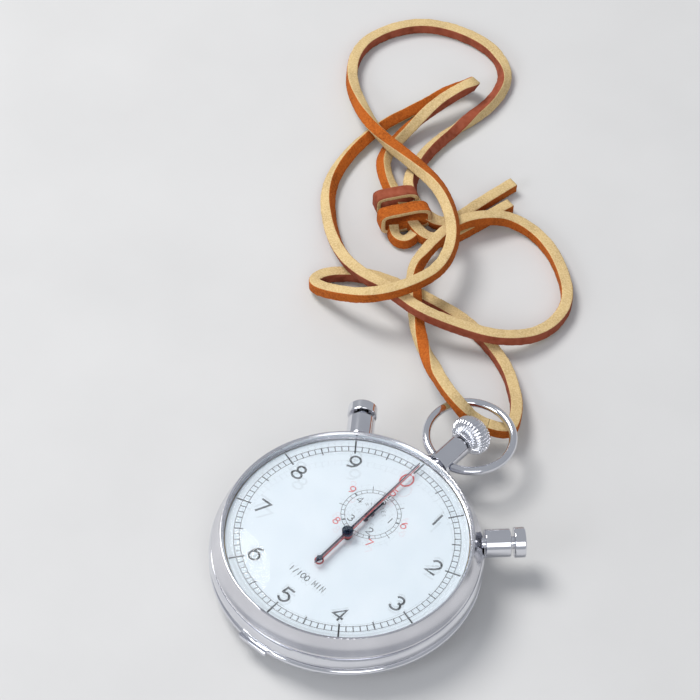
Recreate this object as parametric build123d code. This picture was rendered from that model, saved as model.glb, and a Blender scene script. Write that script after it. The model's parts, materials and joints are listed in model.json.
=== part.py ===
"""Split-seconds stopwatch with a leather lace, lying on its back.

Millimetres, +Z up. The origin is the centre of the flat on the back cover, where the watch
rests. +Y runs out along the winding stem to the crown, +X to the right of the dial.
"""
import os
from math import atan2, cos, degrees, hypot, pi, radians, sin, sqrt, tan

from build123d import *

os.makedirs("parts", exist_ok=True)

# ---------------------------------------------------------------- driving dimensions
DIAL_TOP = 11.9             # printed face of the dial
DIAL_RADIUS = 24.5
DIAL_THICK = 0.4
DIAL_TURN = 1.1             # the printed zero stands this many degrees left of the stem
RECORDER_Y = 7.4            # centre of the minute recorder, towards the crown

BAND_RADIUS = 27.75         # widest part of the case band
CASE_BORE = 24.7            # room for the movement
RIDGE_RADIUS = 27.2
LIP_RADIUS = 25.6           # top lip of the bezel
CRYSTAL_RADIUS = 24.9
CRYSTAL_TOP = 16.9
CRYSTAL_WALL = 0.8
BACK_WALL = 0.8
BACK_FLAT_RADIUS = 17.0
WALL_GAP = 0.05             # clearance between shells that snap together

STEM_Z = 7.8                # height of the stem, the pushers and the bow pins
STEM_RADIUS = 0.6
PENDANT_RADIUS = 2.45
PENDANT_END = 35.3
CROWN_RADIUS = 4.45
CROWN_START = 36.2
CROWN_END = 42.4
CROWN_FLUTES = 34
RUNNING_GAP = 0.05          # radial clearance of every turning or sliding fit

LEFT_PUSHER_ANGLE = -36.0   # degrees from the crown, clockwise seen from the dial
RIGHT_PUSHER_ANGLE = 45.0
PUSHER_TUBE_RADIUS = 2.9
PUSHER_TUBE_START = 27.95
LEFT_TUBE_END = 33.0
RIGHT_TUBE_END = 33.1
LEFT_GAP = 1.0
RIGHT_GAP = 0.7
PUSHER_CAP_RADIUS = 3.12
PUSHER_CAP_LENGTH = 2.35
PUSHER_STEM_RADIUS = 1.3
PUSHER_BORE = 1.85
PUSHER_ROD_RADIUS = 0.6
PUSHER_INNER_END = 23.6

BOW_RADIUS = 9.1            # centre line of the ring
BOW_WIRE = 1.8
BOW_PIVOT_Y = 30.1
BOW_PIN_RADIUS = 0.7
BOW_CHEEK = 0.12            # gap between the ring's ends and the pendant

PLATE_RADIUS = 23.0
PLATE_BOTTOM = 9.0
PLATE_TOP = 10.9
BRIDGE_BOTTOM = 5.2
BRIDGE_TOP = 6.3

BARREL_X, BARREL_Y = -8.0, 12.5
BARREL_TIP = 7.4
CROWN_WHEEL_Y = 17.1
CROWN_WHEEL_TIP = 2.8
THIRD_X, THIRD_Y = -4.98, 4.33
ESCAPE_DISTANCE = 5.6
BALANCE_LINE = -50.0        # degrees, direction from the centre to the balance
PALLET_STEP = 3.6
BALANCE_STEP = 4.2
BALANCE_RADIUS = 5.0

SPLIT_ARBOR = 0.28
SWEEP_TUBE_BORE = SPLIT_ARBOR + RUNNING_GAP
SWEEP_TUBE = 0.62
CENTRE_TUBE_BORE = SWEEP_TUBE + RUNNING_GAP
SPLIT_HAND_Z = 13.6
SWEEP_HAND_Z = 12.85
RECORDER_HAND_Z = 12.15
HAND_THICK = 0.15

PENDANT_NECK = 1.6          # necks that go through the band
PUSHER_NECK = 1.3
SLEEVE_RADIUS = 1.65
CASE_SCREW_ANGLES = (100.0, 220.0)
CASE_SCREW_RADIUS = 21.9

PIVOT = 0.15
JEWEL_RADIUS = 0.75
JEWEL_DEPTH = 0.35
RECORDER_ARBOR = 0.3
HAND_REACH = 22.8
BARREL_FEET = [(-18.0, 11.0), (4.5, 13.5), (5.5, 20.0)]
TRAIN_FEET = [(-20.5, 2.5), (7.8, 4.5), (-3.0, -6.5)]
CHRONO_FOOT = (0.0, -7.0)
CLICK = (-13.8, 17.4)
COLUMN = (10.0, 8.0)
IDLER = (0.0, 2.25)
IDLER_TIP = 1.24
OPERATING_PIVOT = (6.3, 16.3)
HAMMER_PIVOT = (-12.0, -3.0)
SPLIT_PIVOT = (-16.5, 3.0)
TIME_OUT_PIVOT = (14.0, -1.0)
JAW_PIVOTS = ((-2.2, -9.8), (2.2, -9.8))

LACE = 2.6                  # diameter of the lace's plain tube


# ---------------------------------------------------------------- shape helpers
def disc(radius, low, high, x=0.0, y=0.0):
    """Upright round bar between two heights."""
    return Pos(x, y, low) * Cylinder(radius, high - low, align=(Align.CENTER, Align.CENTER, Align.MIN))


def ring(outer, inner, low, high, x=0.0, y=0.0):
    """Upright tube between two heights."""
    return disc(outer, low, high, x, y) - disc(inner, low - 1, high + 1, x, y)


def turned(*edges):
    """Solid turned about the Z axis from an outline drawn as (radius, height) edges."""
    face = make_face([Plane.XZ * edge for edge in edges])
    return revolve(face, Axis.Z, 360)


def dome(radius, height, top):
    """Arc of a circle centred on the Z axis, from a point out at a radius up to the top."""
    centre = top - ((top - height) ** 2 + radius**2) / (2 * (top - height))
    middle = radius / 2
    return ThreePointArc((radius, height), (middle, centre + sqrt((top - centre) ** 2 - middle**2)), (0, top))


def rod(radius, start, end, angle=0.0, z=STEM_Z):
    """Level round bar pointing away from the middle, at an angle clockwise from the crown."""
    bar = Rot(-90, 0, 0) * Cylinder(radius, end - start, align=(Align.CENTER, Align.CENTER, Align.MIN))
    return Rot(0, 0, -angle) * Pos(0, start, z) * bar


def toothed(teeth, tip, root, low, high, x=0.0, y=0.0, phase=0.0):
    """Gear blank with straight-flanked teeth."""
    pitch = 2 * pi / teeth
    points = []
    for tooth in range(teeth):
        base = phase + tooth * pitch
        for part, radius in ((-0.30, root), (-0.14, tip), (0.14, tip), (0.30, root)):
            angle = base + part * pitch
            points.append((x + radius * cos(angle), y + radius * sin(angle)))
    outline = make_face(Polyline(*points, close=True))
    return Pos(0, 0, low) * extrude(outline, high - low)


def wheel(teeth, tip, low, high, bore, x=0.0, y=0.0, arms=5, depth=0.35, hub=0.9, rim=0.7):
    """Spoked gear wheel: toothed rim, straight arms and a hub round its arbor hole."""
    body = toothed(teeth, tip, tip - depth, low, high, x, y)
    body -= ring(tip - depth - rim, hub, low - 1, high + 1, x, y)
    reach = tip - depth - rim / 2
    for arm in range(arms):
        spoke = Pos(reach / 2, 0, (low + high) / 2) * Box(reach, 0.5, high - low)
        body += Pos(x, y, 0) * Rot(0, 0, arm * 360 / arms) * spoke
    return body - disc(bore, low - 1, high + 1, x, y)


def slab(points, low, high, corner=0.0):
    """Flat plate with the given outline, its corners rounded if asked."""
    outline = make_face(Polyline(*points, close=True))
    if corner:
        outline = fillet(outline.vertices(), corner)
    return Pos(0, 0, low) * extrude(outline, high - low)


def bar(start, end, width, low, high):
    """Flat strip with round ends between two points."""
    length = hypot(end[0] - start[0], end[1] - start[1])
    angle = degrees(atan2(end[1] - start[1], end[0] - start[0]))
    strip = Pos(length / 2, 0, (low + high) / 2) * Box(length, width, high - low)
    body = Pos(*start, 0) * Rot(0, 0, angle) * strip
    for x, y in (start, end):
        body += disc(width / 2, low, high, x, y)
    return body


def polar(radius, angle):
    """Point at a radius and an angle clockwise from the crown."""
    return radius * sin(radians(angle)), radius * cos(radians(angle))


def save(shape, node):
    """Write one sub-part."""
    export_step(shape, f"parts/{node}.step")


# ---------------------------------------------------------------- case
def make_case_band():
    """Middle of the case, with a spigot above for the bezel and a lip below for the back."""
    top, spigot, low, foot = 8.75, 9.3, 5.15, 3.7
    edges = (
        Line((CASE_BORE, foot), (25.5, foot)),
        Line((25.5, foot), (25.5, low)),
        Line((25.5, low), (27.1, low)),
        ThreePointArc((27.1, low), (BAND_RADIUS, (low + top) / 2 - 0.6), (27.35, top)),
        Line((27.35, top), (26.2, top)),
        Line((26.2, top), (26.2, spigot)),
        Line((26.2, spigot), (CASE_BORE, spigot)),
        Line((CASE_BORE, spigot), (CASE_BORE, foot)),
    )
    body = turned(*edges)
    body -= rod(1.0, 20, 30)
    body -= Pos(0, 26.5, STEM_Z) * Rot(-90, 0, 0) * Cylinder(PENDANT_NECK, 4)
    for angle in (LEFT_PUSHER_ANGLE, RIGHT_PUSHER_ANGLE):
        body -= rod(PUSHER_NECK, 20, 30, angle)
    return body


def make_bezel():
    """Bezel: a narrow top lip, a hollow sloping flank and a ridge over the band."""
    under = 8.8
    edges = (
        Line((26.25, under), (RIDGE_RADIUS - 0.15, under)),
        ThreePointArc((RIDGE_RADIUS - 0.15, under), (RIDGE_RADIUS + 0.1, 9.25), (RIDGE_RADIUS - 0.05, 9.65)),
        ThreePointArc((RIDGE_RADIUS - 0.05, 9.65), (26.1, 11.4), (LIP_RADIUS, 13.45)),
        ThreePointArc((LIP_RADIUS, 13.45), (25.38, 13.62), (25.12, 13.45)),
        Line((25.12, 13.45), (CRYSTAL_RADIUS + 0.03, 13.25)),
        Line((CRYSTAL_RADIUS + 0.03, 13.25), (CRYSTAL_RADIUS + 0.03, 12.1)),
        Line((CRYSTAL_RADIUS + 0.03, 12.1), (24.75, 12.1)),
        Line((24.75, 12.1), (24.75, 9.4)),
        Line((24.75, 9.4), (26.25, 9.4)),
        Line((26.25, 9.4), (26.25, under)),
    )
    body = turned(*edges) - rod(PENDANT_NECK, 25.5, 28)
    for angle in (LEFT_PUSHER_ANGLE, RIGHT_PUSHER_ANGLE):
        body -= rod(PUSHER_NECK, 25.5, 28, angle)
    return body


def make_crystal():
    """Clear crystal: a straight edge held by the bezel, a tight shoulder and a low dome."""
    low = 12.15
    inner = CRYSTAL_RADIUS - CRYSTAL_WALL
    roof = CRYSTAL_TOP - CRYSTAL_WALL
    body = turned(
        Line((0, low), (CRYSTAL_RADIUS, low)),
        Line((CRYSTAL_RADIUS, low), (CRYSTAL_RADIUS, 13.4)),
        ThreePointArc((CRYSTAL_RADIUS, 13.4), (24.2, 14.5), (22.6, 15.05)),
        dome(22.6, 15.05, CRYSTAL_TOP),
        Line((0, CRYSTAL_TOP), (0, low)),
    )
    return body - turned(
        Line((0, low - 1), (inner, low - 1)),
        Line((inner, low - 1), (inner, 13.0)),
        ThreePointArc((inner, 13.0), (23.6, 13.85), (22.3, 14.3)),
        dome(22.3, 14.3, roof),
        Line((0, roof), (0, low - 1)),
    )


def make_back_cover():
    """Snap-on back: flat middle, domed flank, rounded rim and a small opening lip."""
    rim_top, rim = 5.05, 27.85
    edges = (
        Line((0, 0), (BACK_FLAT_RADIUS, 0)),
        ThreePointArc((BACK_FLAT_RADIUS, 0), (23.4, 0.95), (rim - 0.3, 3.75)),
        ThreePointArc((rim - 0.3, 3.75), (rim, 4.4), (rim - 0.45, rim_top)),
        Line((rim - 0.45, rim_top), (25.5 + WALL_GAP, rim_top)),
        Line((25.5 + WALL_GAP, rim_top), (25.5 + WALL_GAP, 3.6)),
        ThreePointArc((25.5 + WALL_GAP, 3.6), (22.8, 1.75), (BACK_FLAT_RADIUS, BACK_WALL)),
        Line((BACK_FLAT_RADIUS, BACK_WALL), (0, BACK_WALL)),
        Line((0, BACK_WALL), (0, 0)),
    )
    body = turned(*edges)
    lip = Pos(*polar(27.9, 180), 4.35) * Box(7.0, 0.9, 0.9)
    return body + fillet(lip.edges().filter_by(Axis.Z), 0.4)


def make_pendant():
    """Pendant tube with a collar against the band, bored for the sleeve and for the bow pins."""
    body = rod(3.0, BAND_RADIUS + 0.2, 28.7) + rod(PENDANT_RADIUS, 28.7, PENDANT_END)
    body += rod(PENDANT_NECK - WALL_GAP, 24.8, BAND_RADIUS + 0.2)
    body -= rod(1.0, 20, 40)
    body -= rod(SLEEVE_RADIUS + RUNNING_GAP, 31.6, 40)
    pin_hole = Pos(0, BOW_PIVOT_Y, STEM_Z) * Rot(0, 90, 0) * Cylinder(BOW_PIN_RADIUS + RUNNING_GAP, 10)
    keep = Pos(0, BOW_PIVOT_Y, STEM_Z) * Box(3.2, 3, 3)
    return body - (pin_hole - keep)


def make_pusher_tube(angle, end):
    """Fixed guide tube of a side pusher, with a neck through the band."""
    body = rod(PUSHER_TUBE_RADIUS, PUSHER_TUBE_START, end, angle)
    body = fillet(body.edges().filter_by(GeomType.CIRCLE), 0.2)
    body += rod(PUSHER_NECK - WALL_GAP, 24.8, PUSHER_TUBE_START + 0.5, angle)
    body -= rod(PUSHER_BORE, 29.0, 40, angle)
    return body - rod(PUSHER_ROD_RADIUS + RUNNING_GAP, 20, 30, angle)


def make_pusher(angle, tube_end, gap):
    """Side pusher: a short cap, its stem, a guide shoulder and a thin rod into the case."""
    start = tube_end + gap
    cap = rod(PUSHER_CAP_RADIUS, start, start + PUSHER_CAP_LENGTH, angle)
    cap = fillet(cap.edges().filter_by(GeomType.CIRCLE), 0.3)
    stem = rod(PUSHER_STEM_RADIUS, 31.6, start + 0.5, angle)
    shoulder = rod(PUSHER_BORE - RUNNING_GAP, 31.4, 32.3, angle)
    inner = rod(PUSHER_ROD_RADIUS, PUSHER_INNER_END, 31.6, angle)
    return cap + stem + shoulder + inner


def make_pusher_spring(angle):
    """Return spring of a pusher, coiled round its rod inside the tube."""
    low, high, wire = 29.15, 31.2, 0.16
    coil = Helix(0.5, high - low, 1.25)
    section = Plane(coil @ 0, z_dir=coil % 0) * Circle(wire)
    spring = sweep(section, path=coil, is_frenet=True)
    return Rot(0, 0, -angle) * Pos(0, low, STEM_Z) * Rot(-90, 0, 0) * spring


def make_bow():
    """Ring of round wire with two inward pins that turn in the pendant."""
    centre = BOW_PIVOT_Y + sqrt(BOW_RADIUS**2 - (PENDANT_RADIUS + BOW_CHEEK) ** 2)
    body = Pos(0, centre, STEM_Z) * Torus(BOW_RADIUS, BOW_WIRE / 2)
    opening = 2 * (PENDANT_RADIUS + BOW_CHEEK)
    body -= Pos(0, BOW_PIVOT_Y, STEM_Z) * Box(opening, 8, 8)
    for side in (-1, 1):
        pin = Rot(0, 90, 0) * Cylinder(BOW_PIN_RADIUS, 1.5)
        body += Pos(side * (PENDANT_RADIUS + BOW_CHEEK), BOW_PIVOT_Y, STEM_Z) * pin
    return body


def make_crown():
    """Fluted onion crown."""
    middle = (CROWN_START + CROWN_END) / 2
    half = (CROWN_END - CROWN_START) / 2
    pitch = 2 * pi / CROWN_FLUTES
    points = []
    for flute in range(CROWN_FLUTES):
        for part, radius in ((0.0, CROWN_RADIUS - 0.28), (0.28, CROWN_RADIUS), (0.72, CROWN_RADIUS)):
            angle = (flute + part) * pitch
            points.append((radius * cos(angle), radius * sin(angle)))
    fluted = extrude(make_face(Polyline(*points, close=True)), 2 * half)
    onion = turned(
        Line((0, 0), (2.6, 0)),
        ThreePointArc((2.6, 0), (CROWN_RADIUS, half), (2.9, 2 * half - 0.5)),
        ThreePointArc((2.9, 2 * half - 0.5), (1.6, 2 * half - 0.1), (0, 2 * half)),
        Line((0, 2 * half), (0, 0)),
    )
    body = Pos(0, middle - half, STEM_Z) * Rot(-90, 0, 0) * (fluted & onion)
    return body - rod(STEM_RADIUS, CROWN_START - 1, CROWN_START + 3.0)


def make_stem():
    """Winding stem, fixed in the crown, that slides through the winding pinion."""
    return rod(STEM_RADIUS, 18.2, CROWN_START + 3.0)


def make_pendant_sleeve():
    """Sleeve in the pendant that carries the stem in and out."""
    return rod(SLEEVE_RADIUS, 32.8, PENDANT_END + 0.75) - rod(STEM_RADIUS + RUNNING_GAP, 30, 40)


def make_crown_spring():
    """Spring under the sleeve that lifts the crown."""
    low, high, wire = 31.8, 32.6, 0.12
    coil = Helix(0.34, high - low, 1.2)
    section = Plane(coil @ 0, z_dir=coil % 0) * Circle(wire)
    spring = sweep(section, path=coil, is_frenet=True)
    return Pos(0, low, STEM_Z) * Rot(-90, 0, 0) * spring



# ---------------------------------------------------------------- dial and hands
def make_dial():
    """Dial plate with its two holes and two feet."""
    body = disc(DIAL_RADIUS, DIAL_TOP - DIAL_THICK, DIAL_TOP)
    for angle in (60, 240):
        body += disc(0.5, DIAL_TOP - 1.6, DIAL_TOP - DIAL_THICK, *polar(18.0, angle))
    body -= disc(SWEEP_TUBE + 0.25, DIAL_TOP - 2, DIAL_TOP + 1)
    return body - disc(RECORDER_ARBOR + 0.25, DIAL_TOP - 2, DIAL_TOP + 1, 0, RECORDER_Y)


def make_hand(low, boss, bore, reach, tail, width, tip_width):
    """Slender centre hand with a boss, lying over the zero of the dial."""
    high = low + HAND_THICK
    points = ((-width / 2, -tail), (-width / 2, 0), (-tip_width / 2, reach))
    outline = points + tuple((-x, y) for x, y in reversed(points))
    return slab(outline, low, high) + disc(boss, low - 0.25, high + 0.3) - disc(bore, low - 2, high + 1)


def make_split_hand():
    """Upper hand with an arrow counterpoise and a cap over its arbor."""
    body = make_hand(SPLIT_HAND_Z, 1.15, SPLIT_ARBOR, HAND_REACH, 8.4, 0.45, 0.16)
    high = SPLIT_HAND_Z + HAND_THICK
    body += disc(1.15, high, high + 0.35) + disc(0.45, high, high + 0.95)
    body -= disc(SPLIT_ARBOR, SPLIT_HAND_Z - 1, SPLIT_HAND_Z + 0.5)
    counter = slab(((0, -10.2), (-0.7, -8.4), (0, -7.8), (0.7, -8.4)), SPLIT_HAND_Z, high)
    return Rot(0, 0, DIAL_TURN) * (body + counter)


def make_sweep_hand():
    """Lower hand with a ring counterpoise."""
    body = make_hand(SWEEP_HAND_Z, 1.05, SWEEP_TUBE, HAND_REACH, 7.9, 0.5, 0.16)
    counter = ring(0.95, 0.65, SWEEP_HAND_Z, SWEEP_HAND_Z + HAND_THICK, 0, -8.7)
    body -= disc(SWEEP_TUBE, SWEEP_HAND_Z - 1, SWEEP_HAND_Z + 1)
    return Rot(0, 0, DIAL_TURN) * (body + counter)


def make_recorder_hand():
    """Short minute-recorder hand with a round tail."""
    low, high = RECORDER_HAND_Z, RECORDER_HAND_Z + HAND_THICK
    body = bar((0, RECORDER_Y - 1.9), (0, RECORDER_Y + 3.6), 0.4, low, high)
    body += disc(0.55, low, high, 0, RECORDER_Y - 1.9) + disc(0.6, low, high + 0.3, 0, RECORDER_Y)
    return body - disc(RECORDER_ARBOR, low - 1, low + 0.2, 0, RECORDER_Y)


# ---------------------------------------------------------------- going train
def train_points():
    """Places of the escape wheel, the pallet arbor and the balance on one line."""
    along = (cos(radians(BALANCE_LINE)), sin(radians(BALANCE_LINE)))
    steps = (ESCAPE_DISTANCE, ESCAPE_DISTANCE + PALLET_STEP, ESCAPE_DISTANCE + PALLET_STEP + BALANCE_STEP)
    return [(step * along[0], step * along[1]) for step in steps]


ESCAPE, PALLET, BALANCE = train_points()
THIRD = (THIRD_X, THIRD_Y)
BARREL = (BARREL_X, BARREL_Y)
ACROSS = (-sin(radians(BALANCE_LINE)), cos(radians(BALANCE_LINE)))


def arbor(point, low, high, body_low, body_high, radius=0.45):
    """Arbor with a thin pivot at each end."""
    return disc(PIVOT, low, high, *point) + disc(radius, body_low, body_high, *point)


def pivot_seats(points, face, side):
    """Jewel recesses, with oil room behind, to cut from a plate face; side is +1 above, -1 below."""
    cuts = []
    for point in points:
        near, far = sorted((face, face + side * JEWEL_DEPTH))
        deep = sorted((face, face + side * (JEWEL_DEPTH + 0.25)))
        cuts.append(disc(JEWEL_RADIUS + 0.02, near, far, *point) + disc(0.3, *deep, *point))
    return cuts


def make_main_plate():
    """Main plate that carries the train, with seats for jewels, feet and screws."""
    body = disc(PLATE_RADIUS, PLATE_BOTTOM, PLATE_TOP)
    body -= disc(SWEEP_TUBE + 0.08, 0, 20) + disc(RECORDER_ARBOR + 0.08, 0, 20, 0, RECORDER_Y)
    body -= disc(1.15, 0, PLATE_BOTTOM + 0.6, *BARREL)
    body -= disc(0.65, 0, 20, *polar(18.0, 60)) + disc(0.65, 0, 20, *polar(18.0, 240))
    for cut in pivot_seats((THIRD, ESCAPE, BALANCE, PALLET), PLATE_BOTTOM, 1):
        body -= cut
    for point in case_screw_points() + BARREL_FEET + TRAIN_FEET:
        body -= disc(0.42, 0, PLATE_BOTTOM + 1.2, *point)
    return body


def case_screw_points():
    """Where the two case screws stand at the edge of the plate."""
    return [polar(CASE_SCREW_RADIUS, angle) for angle in CASE_SCREW_ANGLES]


def make_movement_ring():
    """Spacer ring that centres the movement in the band."""
    return ring(CASE_BORE - WALL_GAP, PLATE_RADIUS + WALL_GAP, PLATE_BOTTOM, PLATE_TOP)


def make_barrel_bridge():
    """Bridge over the mainspring barrel and the winding wheels, on three feet."""
    outline = ((-23, 7.0), (-6.0, 7.0), (-3.4, 9.9), (4.5, 9.9), (9.0, 23), (-23, 23))
    body = slab(outline, BRIDGE_BOTTOM, BRIDGE_TOP) & disc(22.4, 0, 20)
    for point in BARREL_FEET:
        body += disc(1.3, BRIDGE_TOP - 0.1, PLATE_BOTTOM, *point)
    for point in BARREL_FEET:
        body -= disc(0.42, 0, 20, *point)
    body -= disc(CROWN_WHEEL_TIP + 0.15, 0, 20, 0, CROWN_WHEEL_Y)
    return body - disc(1.15, 0, 20, *BARREL)


def make_train_bridge():
    """Bridge over the centre, third, recorder and escape arbors, on three feet."""
    outline = (
        (-23, 6.8), (-6.1, 6.8), (-3.5, 9.7), (6.5, 9.7), (9.6, 1.0),
        (5.6, -6.4), (4.0, -11.5), (-4.0, -11.5), (-23, -1.0),
    )
    body = slab(outline, BRIDGE_BOTTOM, BRIDGE_TOP) & disc(22.4, 0, 20)
    for point in TRAIN_FEET:
        body += disc(1.4, BRIDGE_TOP - 0.1, PLATE_BOTTOM, *point)
    body -= disc(SWEEP_TUBE + 0.08, 0, 20) + disc(RECORDER_ARBOR + 0.08, 0, 20, 0, RECORDER_Y)
    for point in TRAIN_FEET:
        body -= disc(0.42, 0, 20, *point)
    for cut in pivot_seats((THIRD, ESCAPE), BRIDGE_TOP, -1):
        body -= cut
    return body


def make_balance_cock():
    """Cock over the balance, on one foot."""
    foot = (BALANCE[0] + 7.0, BALANCE[1] - 4.0)
    body = bar(BALANCE, foot, 3.4, BRIDGE_BOTTOM, BRIDGE_TOP)
    body += disc(1.5, BRIDGE_TOP - 0.1, PLATE_BOTTOM, *foot)
    for cut in pivot_seats((BALANCE,), BRIDGE_TOP, -1):
        body -= cut
    return body


def make_pallet_cock():
    """Thin cock over the pallet arbor, on two feet."""
    ends = [(PALLET[0] + side * 4.3 * ACROSS[0], PALLET[1] + side * 4.3 * ACROSS[1]) for side in (-1, 1)]
    body = bar(ends[0], ends[1], 1.8, 7.55, 8.0)
    for end in ends:
        body += disc(0.9, 7.9, PLATE_BOTTOM, *end)
    return body - disc(PIVOT + 0.05, 7, 9, *PALLET)


def make_barrel():
    """Toothed barrel drum with a pocket for the mainspring."""
    body = toothed(80, BARREL_TIP, BARREL_TIP - 0.35, 7.6, 8.0, *BARREL) + disc(7.0, 6.75, 8.0, *BARREL)
    body -= disc(6.7, 6.95, 9.0, *BARREL)
    return body - disc(1.15, 6, 9, *BARREL)


def make_barrel_cover():
    """Cover pressed into the barrel."""
    return ring(6.68, 1.15, 7.75, 7.95, *BARREL)


def spiral(point, start, end, turns, thick, low, high, steps=20):
    """Flat spring strip wound as a spiral."""
    outer, inner = [], []
    count = int(turns * steps)
    for step in range(count + 1):
        angle = 2 * pi * step / steps
        radius = start + (end - start) * step / count
        outer.append(((radius + thick / 2) * cos(angle), (radius + thick / 2) * sin(angle)))
        inner.append(((radius - thick / 2) * cos(angle), (radius - thick / 2) * sin(angle)))
    outline = outer + inner[::-1]
    return Pos(point[0], point[1], 0) * slab(outline, low, high)


def make_mainspring():
    """Mainspring coiled in the barrel."""
    return spiral(BARREL, 1.5, 6.4, 7, 0.2, 7.0, 7.7)


def make_barrel_arbor():
    """Barrel arbor, with a thinner end for the ratchet wheel."""
    return disc(1.1, BRIDGE_BOTTOM, PLATE_BOTTOM + 0.5, *BARREL) + disc(0.8, 4.4, BRIDGE_BOTTOM, *BARREL)


def make_ratchet_wheel():
    """Ratchet wheel on the barrel arbor."""
    tip = hypot(BARREL_X, CROWN_WHEEL_Y - BARREL_Y) - CROWN_WHEEL_TIP - 0.06
    return toothed(54, tip, tip - 0.4, 4.5, 5.1, *BARREL) - disc(0.8, 4, 6, *BARREL)


def make_crown_wheel():
    """Crown wheel: flat teeth for the ratchet wheel and a raised ring towards the winding pinion."""
    body = toothed(24, CROWN_WHEEL_TIP, CROWN_WHEEL_TIP - 0.4, 4.5, 5.1, 0, CROWN_WHEEL_Y, phase=pi / 24)
    body += disc(2.0, 5.0, 6.0, 0, CROWN_WHEEL_Y)
    body += ring(2.6, 1.9, 5.0, 6.5, 0, CROWN_WHEEL_Y)
    return body


def make_winding_pinion():
    """Pinion turned by the stem."""
    teeth = toothed(12, 1.15, 0.85, 0, 1.4) - disc(STEM_RADIUS + RUNNING_GAP, -1, 3)
    return Pos(0, 18.9, STEM_Z) * Rot(-90, 0, 0) * teeth


def make_click():
    """Click that holds the ratchet wheel."""
    return bar(CLICK, (CLICK[0] - 2.6, CLICK[1] + 0.4), 0.9, 4.5, 5.1)


def make_click_spring():
    """Wire spring behind the click."""
    path = Polyline((-11.5, 19.6, 4.8), (-15.0, 18.9, 4.8))
    return sweep(Plane(path @ 0, z_dir=path % 0) * Circle(0.12), path=path)


def make_third_wheel():
    """Third wheel, driven by the barrel, with its pinion."""
    body = wheel(75, 5.3, 8.3, 8.55, 0.3, *THIRD)
    pinion = toothed(12, 1.26, 0.8, 7.5, 8.9, *THIRD)
    return body + pinion + arbor(THIRD, BRIDGE_TOP - 0.3, PLATE_BOTTOM + 0.3, 6.4, 8.9)


def make_centre_wheel():
    """Running wheel on a tube round the centre arbors."""
    body = wheel(70, 5.0, 7.0, 7.25, 0.7, arms=4, hub=1.4)
    body += toothed(10, 1.2, 0.95, 8.2, 8.75)
    body += disc(0.95, 6.5, 8.9)
    return body - disc(CENTRE_TUBE_BORE, 6, 9.5)


def make_escape_wheel():
    """Escape wheel with pointed teeth, and its pinion."""
    points = []
    for tooth in range(15):
        for part, radius in ((0.0, 2.6), (0.12, 2.0), (0.85, 1.95)):
            angle = (tooth + part) * 2 * pi / 15
            points.append((ESCAPE[0] + radius * cos(angle), ESCAPE[1] + radius * sin(angle)))
    body = slab(points, 8.4, 8.6) - ring(1.6, 0.9, 8, 9, *ESCAPE)
    for arm in range(4):
        spoke = Pos(0.95, 0, 8.5) * Box(1.9, 0.35, 0.2)
        body += Pos(*ESCAPE, 0) * Rot(0, 0, 90 * arm) * spoke
    body += toothed(7, 0.55, 0.38, 6.7, 7.6, *ESCAPE)
    return body + arbor(ESCAPE, BRIDGE_TOP - 0.3, PLATE_BOTTOM + 0.3, 6.4, 8.9, 0.35)


def make_pallet_fork():
    """Pallets and fork on their arbor."""
    low, high = 8.4, 8.6
    line = radians(BALANCE_LINE)
    fork_end = (PALLET[0] + 3.2 * cos(line), PALLET[1] + 3.2 * sin(line))
    body = bar(PALLET, fork_end, 0.45, low, high) + disc(0.6, low, high, *PALLET)
    for side in (-1, 1):
        turn = line + side * radians(38)
        stone = (ESCAPE[0] + 3.1 * cos(turn), ESCAPE[1] + 3.1 * sin(turn))
        body += bar(PALLET, stone, 0.45, low, high)
    return body + arbor(PALLET, 7.6, PLATE_BOTTOM + 0.3, 8.1, 8.9, 0.3)


def make_balance():
    """Balance wheel with staff, roller and impulse pin."""
    body = ring(BALANCE_RADIUS, BALANCE_RADIUS - 0.7, 6.8, 7.3, *BALANCE)
    spoke = Pos(*BALANCE, 7.05) * Rot(0, 0, BALANCE_LINE) * Box(2 * BALANCE_RADIUS - 1, 0.7, 0.4)
    body += spoke + disc(1.0, 6.8, 7.4, *BALANCE)
    for turn in range(12):
        angle = radians(30 * turn + 15)
        x, y = BALANCE[0] + 4.65 * cos(angle), BALANCE[1] + 4.65 * sin(angle)
        body += disc(0.22, 6.7, 7.4, x, y)
    body += disc(0.9, 8.1, 8.3, *BALANCE)
    line = radians(BALANCE_LINE)
    body += disc(0.15, 8.2, 8.65, BALANCE[0] - 0.6 * cos(line), BALANCE[1] - 0.6 * sin(line))
    return body + arbor(BALANCE, BRIDGE_TOP - 0.3, PLATE_BOTTOM + 0.3, 6.65, 8.9, 0.35)


def make_hairspring():
    """Hairspring between the balance and its cock, with its collet."""
    coil = spiral(BALANCE, 0.85, 2.9, 7, 0.09, 6.4, 6.55, steps=24)
    return coil + ring(0.85, PIVOT, 6.35, 6.6, *BALANCE)


def make_jewels():
    """Jewel bearings of the plate, the train bridge and the balance cock."""
    stones = []
    for point in (THIRD, ESCAPE, BALANCE, PALLET):
        stones.append(ring(JEWEL_RADIUS, PIVOT + 0.03, PLATE_BOTTOM, PLATE_BOTTOM + JEWEL_DEPTH, *point))
    for point in (THIRD, ESCAPE, BALANCE):
        stones.append(ring(JEWEL_RADIUS, PIVOT + 0.03, BRIDGE_TOP - JEWEL_DEPTH, BRIDGE_TOP, *point))
    return Compound(children=stones)


# ---------------------------------------------------------------- chronograph work
def make_sweep_wheel():
    """Chronograph wheel and heart cam on the hollow arbor that carries the lower hand."""
    body = toothed(150, 5.0, 4.75, 3.4, 3.7) + disc(SWEEP_TUBE, 3.2, SWEEP_HAND_Z + 0.45)
    body += toothed(20, 0.95, 0.75, 3.9, 4.4) + heart(1.8, 4.5, 4.8)
    return body - disc(SWEEP_TUBE_BORE, 2, 15)


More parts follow.
